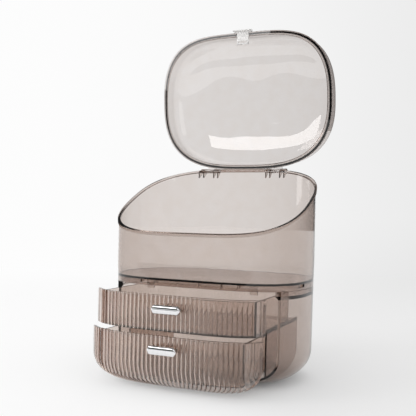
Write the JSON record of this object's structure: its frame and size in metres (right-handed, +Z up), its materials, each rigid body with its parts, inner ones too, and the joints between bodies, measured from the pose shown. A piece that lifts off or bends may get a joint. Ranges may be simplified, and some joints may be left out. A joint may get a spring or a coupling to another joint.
{
  "type": "makeup storage box",
  "caption": "Lidded smoke-tinted cosmetics box: slant-rimmed open tub with hinged dome lid, over a bowl-bottomed case with reeded pull-out drawers and bar handles.",
  "frame": {"origin": "middle of the four feet's contact plane, under the centre of the case's plan (the case without its drawers pulled out); it is within 3 mm of the bottom centre of the whole box in its rest pose", "axes": "+X to the right seen from the front, +Y towards the back (drawers pull out along -Y), +Z up; rest pose is the pictured one: lid open on its stop, upper drawer 49 mm out, lower drawer 57.5 mm out"},
  "size_m": [0.273, 0.3044, 0.494],
  "materials": {
    "smoke_plastic": "gloss, transparent smoke brown",
    "smoke_inner": "gloss, transparent smoke brown",
    "clear_latch": "gloss, cloudy clear",
    "steel_pin": "satin",
    "rubber_foot": "matte",
    "handle_chrome": "polished"
  },
  "bodies": {
    "cabinet": {"base_case": "smoke_plastic", "drawer_frame": "smoke_inner", "organizer_tub": "smoke_plastic", "hinge_pin_left": "steel_pin", "hinge_pin_right": "steel_pin", "foot_front_left": "rubber_foot", "foot_front_right": "rubber_foot", "foot_rear_left": "rubber_foot", "foot_rear_right": "rubber_foot"},
    "lid": {"lid_shell": "smoke_plastic", "lid_latch": "clear_latch"},
    "upper_drawer": {"upper_drawer_tray": "smoke_inner", "upper_drawer_front": "smoke_plastic", "upper_drawer_handle": "handle_chrome", "upper_handle_screws": "steel_pin"},
    "lower_drawer": {"lower_drawer_tray": "smoke_inner", "lower_drawer_front": "smoke_plastic", "lower_drawer_handle": "handle_chrome", "lower_handle_screws": "steel_pin"}
  },
  "joints": [
    {"name": "lid_hinge", "type": "hinge", "parent": "cabinet", "child": "lid", "pos_m": [0, 0.0958, 0.2821], "axis": [1, 0, 0], "range_deg": [0, 112]},
    {"name": "upper_drawer_slide", "type": "slide", "parent": "cabinet", "child": "upper_drawer", "axis": [0, -1, 0], "range_m": [-0.049, 0.063]},
    {"name": "lower_drawer_slide", "type": "slide", "parent": "cabinet", "child": "lower_drawer", "axis": [0, -1, 0], "range_m": [-0.0575, 0.0575]}
  ]
}
